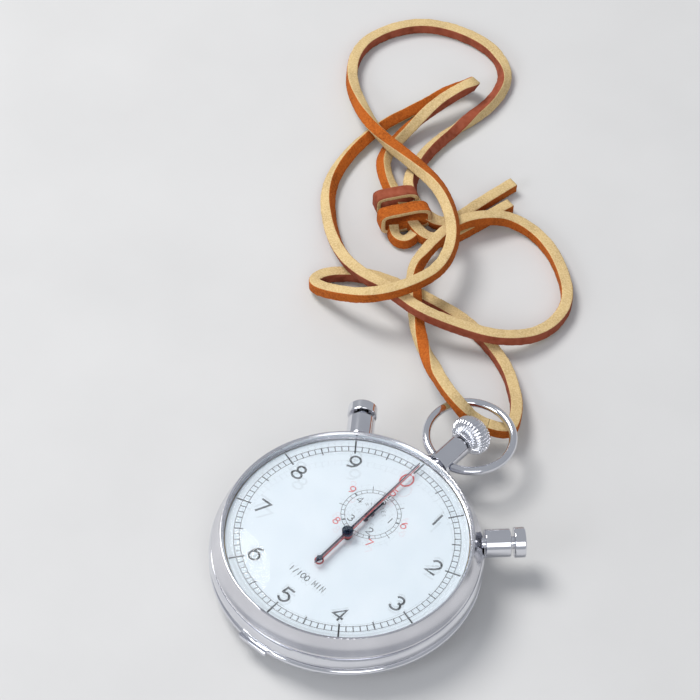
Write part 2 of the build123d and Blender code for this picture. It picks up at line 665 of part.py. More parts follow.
def heart(size, low, high, x=0.0, y=0.0):
    """Heart-shaped reset cam."""
    points = []
    for step in range(36):
        angle = radians(10 * step)
        radius = size * (0.45 + 0.55 * abs(180 - 10 * step) / 180)
        points.append((x + radius * sin(angle), y - radius * cos(angle)))
    return slab(points, low, high)


def make_split_wheel():
    """Split wheel on the slender arbor that carries the upper hand."""
    body = toothed(180, 4.2, 4.0, 2.6, 2.9) + disc(SPLIT_ARBOR, 2.2, SPLIT_HAND_Z + 0.5)
    return body + disc(0.8, 2.5, 3.1)


def make_recorder_wheel():
    """Recorder wheel and heart cam on the arbor of the minute-recorder hand."""
    body = toothed(100, 3.85, 3.65, 3.95, 4.2, 0, RECORDER_Y) + heart(1.5, 4.3, 4.6, 0, RECORDER_Y)
    return body + disc(RECORDER_ARBOR, 3.6, RECORDER_HAND_Z + 0.2, 0, RECORDER_Y)


def make_recorder_idler():
    """Idler between the chronograph arbor and the recorder wheel."""
    body = toothed(24, IDLER_TIP, IDLER_TIP - 0.2, 3.95, 4.2, *IDLER)
    return body + disc(0.3, 3.95, BRIDGE_BOTTOM - 0.1, *IDLER)


def make_column_wheel():
    """Column wheel: ratchet below, six pillars above."""
    body = toothed(12, 2.0, 1.6, 4.3, 4.9, *COLUMN)
    for pillar in range(6):
        angle = radians(60 * pillar)
        x, y = COLUMN[0] + 1.15 * cos(angle), COLUMN[1] + 1.15 * sin(angle)
        body += disc(0.32, 3.0, 4.4, x, y)
    return body + disc(0.4, 2.9, 8.9, *COLUMN)


def lever(pivot, ends, low, high, seat, width=1.0):
    """Flat steel lever: arms from a round boss on a post that stands on a plate."""
    body = disc(1.2, low, high, *pivot) + disc(0.7, low - 0.4, seat, *pivot)
    for end in ends:
        body += bar(pivot, end, width, low, high)
    return body


def make_chrono_cock():
    """Cock under the split wheel that carries the centre arbor's end."""
    body = bar((0, 0), CHRONO_FOOT, 2.6, 1.7, 2.15)
    body += disc(1.2, 2.1, BRIDGE_BOTTOM, *CHRONO_FOOT)
    return body - disc(SPLIT_ARBOR + 0.05, 2.1, 3)


def screws(points, head_low, head_high, shank_high, head=0.85, shank=0.4):
    """Slotted screws with their heads towards the back."""
    pieces = []
    for point in points:
        body = disc(head, head_low, head_high, *point) + disc(shank, head_high, shank_high, *point)
        pieces.append(body - Pos(point[0], point[1], head_low) * Box(3, 0.22, 0.4))
    return Compound(children=pieces)


def make_bridge_screws():
    """Screws of the bridges, the balance cock and the chronograph cock."""
    return screws(BARREL_FEET + TRAIN_FEET, BRIDGE_BOTTOM - 0.45, BRIDGE_BOTTOM, PLATE_BOTTOM + 0.9)


def make_case_screws():
    """Two screws whose heads clamp the movement ring to the plate."""
    return screws(case_screw_points(), PLATE_BOTTOM - 0.55, PLATE_BOTTOM, PLATE_BOTTOM + 1.0, head=1.4)


# ---------------------------------------------------------------- lace
# Both halves of one leather lace start face to face inside the bow and run through the knot.
LACE_LEFT = [
    (0.0, 44.8, 5.5), (-2.6, 43.4, 6.2), (-6.0, 42.0, 10.6), (-11.0, 43.4, 10.9), (-20.0, 49.5, 6.4),
    (-28.5, 56.0, 3.0), (-34.6, 61.6, 4.8), (-40.5, 68.4, 4.3), (-42.9, 74.6, 2.6), (-42.8, 80.1, 4.4),
    (-42.2, 86.1, 4.7), (-39.4, 91.6, 4.2), (-35.4, 97.0, 2.2), (-27.9, 97.9, 1.3), (-19.2, 94.3, 1.4),
    (-10.0, 86.5, 1.4), (-8.6, 75.4, 1.9), (-13.6, 65.9, 4.6), (-22.8, 61.5, 5.6), (-30.3, 58.0, 7.6),
    (-38.6, 58.9, 7.0), (-48.0, 59.0, 5.2), (-55.8, 61.3, 4.0), (-64.3, 67.4, 1.3), (-72.5, 75.4, 1.4),
    (-76.5, 85.7, 1.3), (-77.2, 99.4, 1.4), (-74.8, 109.3, 1.3), (-73.3, 117.0, 1.3),
    (-70.6, 123.4, 1.5), (-67.2, 122.2, 6.0), (-68.7, 116.7, 5.6), (-70.2, 110.2, 4.4),
    (-71.2, 103.3, 2.4), (-70.5, 92.5, 1.4), (-64.5, 86.6, 2.6), (-56.4, 82.6, 3.0), (-46.9, 78.7, 1.6),
    (-42.6, 82.3, 1.3), (-40.6, 91.2, 1.3), (-38.7, 100.4, 1.4),
]
LACE_RIGHT = [
    (0.0, 44.8, 5.5), (4.16, 47.04, 4.38), (2.3, 51.8, 3.6), (-1.5, 57.0, 2.0), (-10.0, 63.6, 1.3),
    (-22.5, 67.0, 1.4), (-35.5, 66.0, 1.3), (-48.5, 63.0, 1.4), (-56.1, 56.5, 1.3), (-56.0, 51.5, 1.8),
    (-48.8, 50.9, 5.2), (-39.7, 52.7, 9.6), (-34.8, 60.5, 10.3), (-34.2, 71.1, 8.2), (-39.0, 81.0, 8.0),
    (-49.5, 89.3, 7.2), (-60.5, 93.0, 5.0), (-73.0, 94.2, 5.2), (-81.8, 98.2, 4.4), (-92.5, 106.1, 1.3),
    (-98.0, 115.0, 1.4), (-97.5, 124.0, 1.3), (-92.4, 132.7, 1.4), (-83.1, 137.1, 1.3),
    (-72.8, 137.3, 1.4), (-65.3, 132.3, 1.3), (-62.5, 123.1, 1.4), (-63.4, 113.4, 1.3),
    (-63.9, 103.1, 1.4), (-62.5, 95.0, 1.3), (-58.8, 88.0, 2.6), (-53.0, 84.6, 3.0), (-47.6, 84.3, 1.8),
    (-44.9, 87.2, 1.3), (-44.0, 96.9, 1.3), (-42.3, 106.0, 1.4),
]


def lace_radii(route):
    """Bend radius at each inner point: nearly half of the shorter run, spread over the turn."""
    radii = []
    for before, here, after in zip(route, route[1:], route[2:]):
        first, second = Vector(*here) - Vector(*before), Vector(*after) - Vector(*here)
        turn = radians(first.get_angle(second))
        radii.append(0.45 * min(first.length, second.length) / tan(turn / 2))
    return radii


def make_lace(route):
    """Plain round tube along straight runs joined by tangent arcs."""
    path = FilletPolyline(*route, radius=lace_radii(route))
    tube = sweep(Plane(path @ 0, z_dir=path % 0) * Circle(LACE / 2), path=path)
    print("lace", len(route), "points, length", round(path.length, 1),
          "volume ratio", round(tube.volume / (path.length * pi * LACE**2 / 4), 3),
          "radii", [round(radius, 1) for radius in lace_radii(route)])
    return tube


def make_lace_knot():
    """Plain outer shape of the knot that ties both halves."""
    body = Box(12.0, 9.0, 6.4)
    body = fillet(body.edges(), 2.0)
    return Pos(-55.6, 80.7, 3.3) * Rot(0, 0, 52) * body


# ---------------------------------------------------------------- all sub-parts
PARTS = {
    "case_band": make_case_band,
    "bezel": make_bezel,
    "crystal": make_crystal,
    "back_cover": make_back_cover,
    "pendant": make_pendant,
    "pusher_tube_left": lambda: make_pusher_tube(LEFT_PUSHER_ANGLE, LEFT_TUBE_END),
    "pusher_tube_right": lambda: make_pusher_tube(RIGHT_PUSHER_ANGLE, RIGHT_TUBE_END),
    "pusher_left": lambda: make_pusher(LEFT_PUSHER_ANGLE, LEFT_TUBE_END, LEFT_GAP),
    "pusher_right": lambda: make_pusher(RIGHT_PUSHER_ANGLE, RIGHT_TUBE_END, RIGHT_GAP),
    "pusher_spring_left": lambda: make_pusher_spring(LEFT_PUSHER_ANGLE),
    "pusher_spring_right": lambda: make_pusher_spring(RIGHT_PUSHER_ANGLE),
    "bow": make_bow,
    "crown": make_crown,
    "stem": make_stem,
    "pendant_sleeve": make_pendant_sleeve,
    "crown_spring": make_crown_spring,
    "dial": make_dial,
    "split_hand": make_split_hand,
    "sweep_hand": make_sweep_hand,
    "recorder_hand": make_recorder_hand,
    "main_plate": make_main_plate,
    "movement_ring": make_movement_ring,
    "barrel_bridge": make_barrel_bridge,
    "train_bridge": make_train_bridge,
    "balance_cock": make_balance_cock,
    "pallet_cock": make_pallet_cock,
    "barrel": make_barrel,
    "barrel_cover": make_barrel_cover,
    "mainspring": make_mainspring,
    "barrel_arbor": make_barrel_arbor,
    "ratchet_wheel": make_ratchet_wheel,
    "crown_wheel": make_crown_wheel,
    "winding_pinion": make_winding_pinion,
    "click": make_click,
    "click_spring": make_click_spring,
    "third_wheel": make_third_wheel,
    "centre_wheel": make_centre_wheel,
    "escape_wheel": make_escape_wheel,
    "pallet_fork": make_pallet_fork,
    "balance": make_balance,
    "hairspring": make_hairspring,
    "jewels": make_jewels,
    "sweep_wheel": make_sweep_wheel,
    "split_wheel": make_split_wheel,
    "recorder_wheel": make_recorder_wheel,
    "recorder_idler": make_recorder_idler,
    "column_wheel": make_column_wheel,
    "operating_lever": lambda: lever(OPERATING_PIVOT, ((1.5, 19.0), (10.0, 10.9)), 3.0, 3.5, BRIDGE_BOTTOM),
    "reset_hammer": lambda: lever(HAMMER_PIVOT, ((-2.9, 0.0), (-2.5, 6.6)), 4.4, 4.8, BRIDGE_BOTTOM),
    "split_lever": lambda: lever(SPLIT_PIVOT, ((-13.0, 17.2), (-7.2, -2.2)), 3.0, 3.5, BRIDGE_BOTTOM),
    "time_out_lever": lambda: lever(TIME_OUT_PIVOT, ((15.2, 14.6), (6.8, 1.0)), 3.0, 3.5, PLATE_BOTTOM),
    "split_jaw_left": lambda: lever(JAW_PIVOTS[0], ((-5.4, 0.5),), 2.6, 2.9, BRIDGE_BOTTOM),
    "split_jaw_right": lambda: lever(JAW_PIVOTS[1], ((5.4, 0.5),), 2.6, 2.9, BRIDGE_BOTTOM),
    "chrono_cock": make_chrono_cock,
    "bridge_screws": make_bridge_screws,
    "case_screws": make_case_screws,
    "lace_left": lambda: make_lace(LACE_LEFT),
    "lace_right": lambda: make_lace(LACE_RIGHT),
    "lace_knot": make_lace_knot,
}

for node, make in PARTS.items():
    save(make(), node)
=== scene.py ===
"""Looks of a split-seconds stopwatch with a leather lace. Metres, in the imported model's frame."""

import json
from math import cos, pi, radians, sin

import bmesh
import bpy
import numpy as np
from mathutils import Matrix, Vector, noise


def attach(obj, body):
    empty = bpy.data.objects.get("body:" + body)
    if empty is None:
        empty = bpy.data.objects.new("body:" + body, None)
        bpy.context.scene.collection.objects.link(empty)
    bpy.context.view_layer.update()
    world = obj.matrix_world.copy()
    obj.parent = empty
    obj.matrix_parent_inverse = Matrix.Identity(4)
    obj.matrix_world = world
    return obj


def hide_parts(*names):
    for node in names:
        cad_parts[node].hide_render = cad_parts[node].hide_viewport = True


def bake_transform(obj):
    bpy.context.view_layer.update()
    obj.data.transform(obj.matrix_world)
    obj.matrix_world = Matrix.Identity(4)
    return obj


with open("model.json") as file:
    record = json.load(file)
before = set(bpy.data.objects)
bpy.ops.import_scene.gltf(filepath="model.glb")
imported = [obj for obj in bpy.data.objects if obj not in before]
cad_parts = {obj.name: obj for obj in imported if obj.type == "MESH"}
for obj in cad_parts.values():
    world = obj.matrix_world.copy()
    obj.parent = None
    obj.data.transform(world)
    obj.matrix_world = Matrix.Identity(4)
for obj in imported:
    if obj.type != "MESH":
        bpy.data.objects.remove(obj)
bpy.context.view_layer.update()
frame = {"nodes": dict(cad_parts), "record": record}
NODES = frame["nodes"]

MM = 0.001
DIAL_TOP = 11.9 * MM
DIAL_TURN = radians(1.1)
INK_LIFT = 0.015 * MM
RECORDER = (0.0, 7.4)
LACE = 2.6 * MM
STEM_Z = 7.8
CROWN_RADIUS = 4.45
CROWN_MIDDLE = 39.3
CROWN_HALF = 3.1
CROWN_FLUTES = 34
FLUTE_STEPS = 8
BAND_HALF_WIDTH = 1.6 * MM
BAND_HALF_THICK = 0.55 * MM
BAND_STEPS = 72
BIGHT_HALF = 1.2 * MM
FLOOR_Z = -0.2 * MM


# ---------------------------------------------------------------- materials
class Paint:
    """One procedural material: a Principled shader and the nodes that feed it."""

    def __init__(self, name):
        self.material = bpy.data.materials.new(name)
        self.material.use_nodes = True
        self.nodes = self.material.node_tree.nodes
        self.links = self.material.node_tree.links
        self.shader = self.nodes["Principled BSDF"]
        self.place = self.nodes.new("ShaderNodeTexCoord").outputs["Object"]

    def noise(self, scale, detail=4.0, stretch=None):
        """Noise texture in the object's own space, stretched along an axis if asked."""
        texture = self.nodes.new("ShaderNodeTexNoise")
        texture.inputs["Scale"].default_value = scale
        texture.inputs["Detail"].default_value = detail
        source = self.place
        if stretch:
            mapping = self.nodes.new("ShaderNodeMapping")
            mapping.inputs["Scale"].default_value = stretch
            self.links.new(source, mapping.inputs["Vector"])
            source = mapping.outputs["Vector"]
        self.links.new(source, texture.inputs["Vector"])
        return texture.outputs["Fac"]

    def ramp(self, source, low, high, start=0.3, end=0.7):
        """Colour ramp between two colours."""
        node = self.nodes.new("ShaderNodeValToRGB")
        for element, position, colour in zip(node.color_ramp.elements, (start, end), (low, high)):
            element.position = position
            element.color = (*colour, 1.0)
        self.links.new(source, node.inputs["Fac"])
        return node.outputs["Color"]

    def spread(self, source, low, high):
        """The source, 0 to 1, mapped to a range."""
        node = self.nodes.new("ShaderNodeMapRange")
        node.inputs["To Min"].default_value = low
        node.inputs["To Max"].default_value = high
        self.links.new(source, node.inputs["Value"])
        return node.outputs["Result"]

    def feed(self, source, socket):
        """Link a source to one of the shader's inputs."""
        self.links.new(source, self.shader.inputs[socket])

    def bump(self, source, depth, strength=1.0):
        """Small relief, in metres."""
        node = self.nodes.new("ShaderNodeBump")
        node.inputs["Strength"].default_value = strength
        node.inputs["Distance"].default_value = depth
        self.links.new(source, node.inputs["Height"])
        self.links.new(node.outputs["Normal"], self.shader.inputs["Normal"])

    def set(self, **values):
        """Constant values on the shader, with underscores for spaces."""
        for name, value in values.items():
            self.shader.inputs[name.replace("_", " ")].default_value = value
        return self


def metal(name, low, high, rough_low, rough_high, scale=300.0, stretch=None, relief=0.000002):
    """Metal with faint tarnish, uneven polish and fine relief."""
    paint = Paint(name).set(Metallic=1.0)
    paint.feed(paint.ramp(paint.noise(90.0), low, high), "Base Color")
    paint.feed(paint.spread(paint.noise(scale, 6.0, stretch), rough_low, rough_high), "Roughness")
    paint.bump(paint.noise(scale * 4, 5.0, stretch), relief)
    return paint.material


def coating(name, low, high, rough=0.4, scale=200.0, relief=0.000002):
    """Paint or enamel with slight mottling."""
    paint = Paint(name).set(Roughness=rough)
    paint.feed(paint.ramp(paint.noise(scale), low, high), "Base Color")
    paint.bump(paint.noise(scale * 8), relief)
    return paint.material


def hide(name, dark, middle, light, scale, relief):
    """Leather or suede with fibres and random patches between given tones; for the suede these tones are
    painted shade and painted light.
    """
    paint = Paint(name).set(Roughness=0.95)
    paint.shader.inputs["Specular IOR Level"].default_value = 0.2
    patches = paint.ramp(paint.noise(260.0, 6.0), dark, middle, 0.25, 0.6)
    fibres = paint.noise(scale, 8.0)
    mix = paint.nodes.new("ShaderNodeMix")
    mix.data_type = "RGBA"
    paint.links.new(paint.spread(fibres, -0.5, 1.5), mix.inputs["Factor"])
    paint.links.new(patches, mix.inputs["A"])
    mix.inputs["B"].default_value = (*light, 1.0)
    paint.feed(mix.outputs["Result"], "Base Color")
    paint.bump(fibres, relief, 0.8)
    return paint.material


def clear(name):
    """Clear crystal that lets most light straight through, with faint wear."""
    paint = Paint(name).set(IOR=1.34, Alpha=0.12)
    paint.shader.inputs["Transmission Weight"].default_value = 1.0
    paint.shader.inputs["Base Color"].default_value = (0.97, 0.985, 1.0, 1.0)
    paint.feed(paint.spread(paint.noise(400.0, 6.0), 0.0, 0.02), "Roughness")
    paint.bump(paint.noise(60.0), 0.0000005)
    return paint.material


CHROME = metal("chrome", (0.70, 0.71, 0.76), (0.80, 0.81, 0.85), 0.06, 0.15)
SATIN = metal("satin_chrome", (0.66, 0.66, 0.70), (0.78, 0.78, 0.82), 0.16, 0.28, 500.0)
STEEL = metal("steel", (0.50, 0.51, 0.54), (0.64, 0.65, 0.68), 0.14, 0.30, 900.0, (1.0, 0.1, 1.0))
SPRING = metal("spring_steel", (0.26, 0.28, 0.33), (0.42, 0.44, 0.50), 0.18, 0.34)
PLATE = metal(
    "plate", (0.60, 0.59, 0.56), (0.74, 0.73, 0.69), 0.18, 0.36, 500.0, (0.15, 2.0, 1.0), 0.000006
)
BRASS = metal("brass", (0.55, 0.36, 0.13), (0.80, 0.58, 0.26), 0.16, 0.34, 600.0)
BRONZE = metal("aged_brass", (0.10, 0.055, 0.03), (0.34, 0.20, 0.10), 0.25, 0.45, 900.0)
BLUED = metal("blued_steel", (0.012, 0.02, 0.045), (0.05, 0.085, 0.14), 0.20, 0.34, 700.0)
ENAMEL = coating("dial_enamel", (0.68, 0.76, 0.82), (0.73, 0.80, 0.855), 0.32, 120.0, 0.000001)
INK = coating("black_ink", (0.006, 0.007, 0.010), (0.02, 0.023, 0.03), 0.6, 2500.0)
GREY_INK = coating("grey_ink", (0.035, 0.038, 0.045), (0.08, 0.086, 0.095), 0.6, 2500.0)
RED_INK = coating("red_ink", (0.56, 0.03, 0.03), (0.74, 0.075, 0.07), 0.5, 2500.0)
RED = coating("red_paint", (0.34, 0.012, 0.012), (0.50, 0.03, 0.025), 0.35, 1500.0)
RUBY = coating("ruby", (0.30, 0.005, 0.03), (0.52, 0.02, 0.08), 0.12, 900.0)
CRYSTAL = clear("crystal")
CUT_EDGE = hide(
    "lace_cut_edge", (0.36, 0.235, 0.095), (0.55, 0.385, 0.165), (0.74, 0.57, 0.31), 2600.0, 0.00006
)
# The suede's dark colour is its shaded tone and its light colour its lit tone, so its random patches and
# fibres carry painted shade and painted light.
SUEDE = hide(
    "lace_suede", (0.14, 0.024, 0.002), (0.36, 0.075, 0.008), (0.54, 0.145, 0.02), 2200.0, 0.00008
)
GRAIN = hide(
    "lace_grain", (0.13, 0.026, 0.009), (0.26, 0.055, 0.024), (0.36, 0.10, 0.055), 700.0, 0.000012
)
FLOOR = coating("floor", (0.60, 0.60, 0.60), (0.63, 0.63, 0.63), 0.8, 30.0)

LOOKS = {
    "case_metal": CHROME, "bezel_metal": SATIN, "crystal": CRYSTAL, "dial_enamel": ENAMEL,
    "blued_steel": BLUED, "red_paint": RED, "plate_metal": PLATE, "steel": STEEL,
    "spring_steel": SPRING, "brass": BRASS, "ruby": RUBY, "lace_leather": SUEDE,
}


def dress(obj, material):
    """Give a piece its material."""
    obj.data.materials.clear()
    obj.data.materials.append(material)


def dress_cad():
    """Materials and shading of the CAD nodes."""
    for entry in frame["record"]["subparts"]:
        obj, slot = NODES[entry["node"]], entry["material_slot"]
        dress(obj, LOOKS[slot])
        obj.data.shade_smooth()
        obj.data.set_sharp_from_angle(angle=radians(28))
    for node in ("sweep_wheel", "split_wheel", "recorder_wheel"):
        dress(NODES[node], BRONZE)


# ---------------------------------------------------------------- mesh helpers
def mesh_piece(name, vertices, faces, materials, body="case", smooth=False):
    """New mesh object from millimetre or metre vertices that rides on a body."""
    mesh = bpy.data.meshes.new(name)
    mesh.from_pydata([tuple(v) for v in vertices], [], faces)
    for material in materials:
        mesh.materials.append(material)
    if smooth:
        shape = bmesh.new()
        shape.from_mesh(mesh)
        bmesh.ops.recalc_face_normals(shape, faces=shape.faces)
        shape.to_mesh(mesh)
        shape.free()
        mesh.shade_smooth()
    obj = bpy.data.objects.new(name, mesh)
    bpy.context.scene.collection.objects.link(obj)
    if body:
        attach(obj, body)
    return obj


class Ink:
    """Flat strokes printed on the dial, in millimetres."""

    def __init__(self):
        self.vertices, self.faces = [], []

    def stroke(self, points, width, closed=False):
        """Strip of even width along a line, with mitred corners."""
        points = [Vector(p) for p in points]
        count, start = len(points), len(self.vertices)
        for index, point in enumerate(points):
            before = points[index - 1] if index or closed else None
            after = points[(index + 1) % count] if index + 1 < count or closed else None
            ahead = (after - point).normalized() if after is not None else (point - before).normalized()
            behind = (point - before).normalized() if before is not None else ahead
            middle = (ahead + behind).normalized()
            side = Vector((-middle.y, middle.x)) * (width / 2 / max(0.55, middle.dot(ahead)))
            self.vertices += [point + side, point - side]
        for index in range(count if closed else count - 1):
            a, b = start + 2 * index, start + 2 * ((index + 1) % count)
            self.faces.append((a, a + 1, b + 1, b))

    def build(self, name, material, slot, lift=INK_LIFT):
        """The strokes as one mesh on the dial, turned with its print."""
        turn = Matrix.Rotation(DIAL_TURN, 2)
        spots = [(*(turn @ v) * MM, DIAL_TOP + lift) for v in self.vertices]
        return mesh_piece(name, spots, self.faces, [material])


def arc(cx, cy, rx, ry, start, end, steps=24):
    """Points along an ellipse, degrees anticlockwise from +X."""
    angles = [radians(start + (end - start) * k / steps) for k in range(steps + 1)]
    return [(cx + rx * cos(a), cy + ry * sin(a)) for a in angles]


GLYPHS = {
    "0": [arc(0, 0, 0.44, 0.5, 90, 442, 30)],
    "1": [[(0, -0.5), (0, 0.5)]],
    "2": [arc(0, 0.2, 0.36, 0.3, 165, -25, 16) + [(0.1, -0.16), (-0.38, -0.5), (0.42, -0.5)]],
    "3": [arc(-0.02, 0.24, 0.33, 0.26, 150, -80, 16), arc(-0.02, -0.22, 0.38, 0.28, 85, -155, 18)],
    "4": [[(0.16, -0.5), (0.16, 0.5), (-0.44, -0.2), (0.42, -0.2)]],
    "5": [[(0.34, 0.5), (-0.26, 0.5), (-0.32, 0.08)] + arc(0.0, -0.18, 0.38, 0.32, 130, -155, 20)],
    "6": [
        arc(0.02, -0.18, 0.38, 0.32, -180, 180, 24),
        [(-0.36, -0.18), (-0.31, 0.12), (-0.12, 0.36), (0.24, 0.5)],
    ],
    "7": [[(-0.4, 0.5), (0.4, 0.5), (-0.12, -0.5)]],
    "8": [arc(0, 0.26, 0.3, 0.24, -90, 270, 24), arc(0, -0.24, 0.38, 0.26, -90, 270, 24)],
    "9": [
        arc(-0.02, 0.18, 0.38, 0.32, 0, 360, 24),
        [(0.36, 0.18), (0.31, -0.12), (0.12, -0.36), (-0.24, -0.5)],
    ],
    "M": [[(-0.4, -0.5), (-0.36, 0.5), (0, -0.2), (0.36, 0.5), (0.4, -0.5)]],
    "I": [[(0, -0.5), (0, 0.5)]],
    "N": [[(-0.34, -0.5), (-0.34, 0.5), (0.34, -0.5), (0.34, 0.5)]],
    "U": [[(-0.34, 0.5)] + arc(0, -0.16, 0.34, 0.34, 180, 360, 12) + [(0.34, 0.5)]],
    "T": [[(-0.36, 0.5), (0.36, 0.5)], [(0, 0.5), (0, -0.5)]],
    "E": [[(0.32, 0.5), (-0.3, 0.5), (-0.3, -0.5), (0.32, -0.5)], [(-0.3, 0.02), (0.22, 0.02)]],
    "S": [arc(0, 0.24, 0.3, 0.26, 35, 250, 14)[:-1] + arc(0, -0.23, 0.33, 0.27, 75, -150, 14)],
    "/": [[(-0.22, -0.55), (0.22, 0.55)]],
}


def write(ink, text, x, y, height, width, turn=0.0, aspect=0.9):
    """One glyph centred at a point, turned clockwise in degrees."""
    angle = -radians(turn)
    for line in GLYPHS[text]:
        points = []
        for px, py in line:
            gx, gy = px * height * aspect, py * height
            points.append((x + gx * cos(angle) - gy * sin(angle), y + gx * sin(angle) + gy * cos(angle)))
        ink.stroke(points, width)


def polar(radius, angle, centre=(0.0, 0.0)):
    """Point at an angle clockwise from the crown, in degrees."""
    return centre[0] + radius * sin(radians(angle)), centre[1] + radius * cos(radians(angle))


def circle(radius, centre=(0.0, 0.0), steps=180):
    """Points round a circle."""
    return [polar(radius, 360 * k / steps, centre) for k in range(steps)]


def print_dial():
    """Scales, numerals and unit words on the dial."""
    black, grey, red = Ink(), Ink(), Ink()
    for radius in (21.58, 22.8):
        grey.stroke(circle(radius), 0.13, closed=True)
    for tick in range(100):
        angle = 3.6 * tick
        if tick % 10 == 0:
            black.stroke([polar(21.0, angle), polar(24.25, angle)], 0.34)
        elif tick % 5 == 0:
            black.stroke([polar(21.0, angle), polar(22.8, angle)], 0.26)
        else:
            grey.stroke([polar(21.58, angle), polar(22.8, angle)], 0.2)
    for number in range(10):
        ink = black if number else red
        x, y = polar(18.75, 36 * number)
        write(ink, str(number), x, y, 3.2, 0.46 if number else 0.34)
    for radius in (5.35, 6.1):
        grey.stroke(circle(radius, RECORDER, 90), 0.11, closed=True)
    for tick in range(30):
        angle = 12 * tick
        grey.stroke([polar(5.35, angle, RECORDER), polar(6.1, angle, RECORDER)], 0.11)
    for minute in range(5):
        angle = 72 * minute
        black.stroke([polar(5.35, angle, RECORDER), polar(6.1, angle, RECORDER)], 0.34)
        black.stroke([polar(5.35, angle + 36, RECORDER), polar(6.95, angle + 36, RECORDER)], 0.14)
        x, y = polar(4.15, angle, RECORDER)
        write(black, str(minute or 5), x, y, 1.5, 0.22)
        x, y = polar(7.15, angle, RECORDER)
        write(red, str((minute + 5) % 10), x, y, 1.6, 0.24)
    for index, letter in enumerate("MINUTES"):
        angle = -58 + 19 * index
        x, y = polar(2.55, angle, RECORDER)
        write(grey, letter, x, y, 0.72, 0.08, turn=angle)
    for index, letter in enumerate("1/100 MIN"):
        if letter != " ":
            write(black, letter, -3.4 + 1.0 * index, -13.0, 1.25, 0.2, aspect=0.72)
    black.build("dial_numerals", INK, "blued_steel")
    grey.build("dial_scales", GREY_INK, "blued_steel", INK_LIFT * 0.7)
    red.build("dial_red_numerals", RED_INK, "red_paint", INK_LIFT * 1.3)


# ---------------------------------------------------------------- lace
LACE_LEFT = [
    (0.0, 44.8, 5.5), (-2.6, 43.4, 6.2), (-6.0, 42.0, 10.6), (-11.0, 43.4, 10.9), (-20.0, 49.5, 6.4),
    (-28.5, 56.0, 3.0), (-34.6, 61.6, 4.8), (-40.5, 68.4, 4.3), (-42.9, 74.6, 2.6), (-42.8, 80.1, 4.4),
    (-42.2, 86.1, 4.7), (-39.4, 91.6, 4.2), (-35.4, 97.0, 2.2), (-27.9, 97.9, 1.3), (-19.2, 94.3, 1.4),
    (-10.0, 86.5, 1.4), (-8.6, 75.4, 1.9), (-13.6, 65.9, 4.6), (-22.8, 61.5, 5.6), (-30.3, 58.0, 7.6),
    (-38.6, 58.9, 7.0), (-48.0, 59.0, 5.2), (-55.8, 61.3, 4.0), (-64.3, 67.4, 1.3), (-72.5, 75.4, 1.4),
    (-76.5, 85.7, 1.3), (-77.2, 99.4, 1.4), (-74.8, 109.3, 1.3), (-73.3, 117.0, 1.3),
    (-70.6, 123.4, 1.5), (-67.2, 122.2, 6.0), (-68.7, 116.7, 5.6), (-70.2, 110.2, 4.4),
    (-71.2, 103.3, 2.4), (-70.5, 92.5, 1.4), (-64.5, 86.6, 2.6), (-56.4, 82.6, 3.0), (-46.9, 78.7, 1.6),
    (-42.6, 82.3, 1.3), (-40.6, 91.2, 1.3), (-38.7, 100.4, 1.4),
]
LACE_RIGHT = [
    (0.0, 44.8, 5.5), (4.16, 47.04, 4.38), (2.3, 51.8, 3.6), (-1.5, 57.0, 2.0), (-10.0, 63.6, 1.3),
    (-22.5, 67.0, 1.4), (-35.5, 66.0, 1.3), (-48.5, 63.0, 1.4), (-56.1, 56.5, 1.3), (-56.0, 51.5, 1.8),
    (-48.8, 50.9, 5.2), (-39.7, 52.7, 9.6), (-34.8, 60.5, 10.3), (-34.2, 71.1, 8.2), (-39.0, 81.0, 8.0),
    (-49.5, 89.3, 7.2), (-60.5, 93.0, 5.0), (-73.0, 94.2, 5.2), (-81.8, 98.2, 4.4), (-92.5, 106.1, 1.3),
    (-98.0, 115.0, 1.4), (-97.5, 124.0, 1.3), (-92.4, 132.7, 1.4), (-83.1, 137.1, 1.3),
    (-72.8, 137.3, 1.4), (-65.3, 132.3, 1.3), (-62.5, 123.1, 1.4), (-63.4, 113.4, 1.3),
    (-63.9, 103.1, 1.4), (-62.5, 95.0, 1.3), (-58.8, 88.0, 2.6), (-53.0, 84.6, 3.0), (-47.6, 84.3, 1.8),
    (-44.9, 87.2, 1.3), (-44.0, 96.9, 1.3), (-42.3, 106.0, 1.4),
]
# How far the thong is rolled about its own line: (route point, degrees).
ROLL_LEFT = [
    (0, 0), (3, 0), (4.2, -90), (5, -120), (6.2, -125), (7.6, -170), (8.5, -180), (20, -180),
    (22, -160), (23.5, -145), (25.5, -130), (27.9, -122), (28.7, -78), (29.7, -128), (30.8, -180),
    (32, -180), (33.5, -135), (35, -135), (37, -180), (41, -180),
]
ROLL_RIGHT = [
    (0, 0), (12.5, 0), (14, 25), (16.5, 90), (18, 150), (19.5, 180), (24.5, 180), (25.5, 230),
    (26.8, 255), (27.8, 320), (31, 340), (36, 360),
]
KNOT_BIGHT = [
    (-54.7, 78.0, 2.8), (-53.5, 76.4, 1.6), (-51.4, 75.0, 1.3), (-49.3, 75.3, 1.3),
    (-48.6, 77.2, 1.3), (-48.9, 79.3, 1.4),
]
SIDE_STEPS = 5


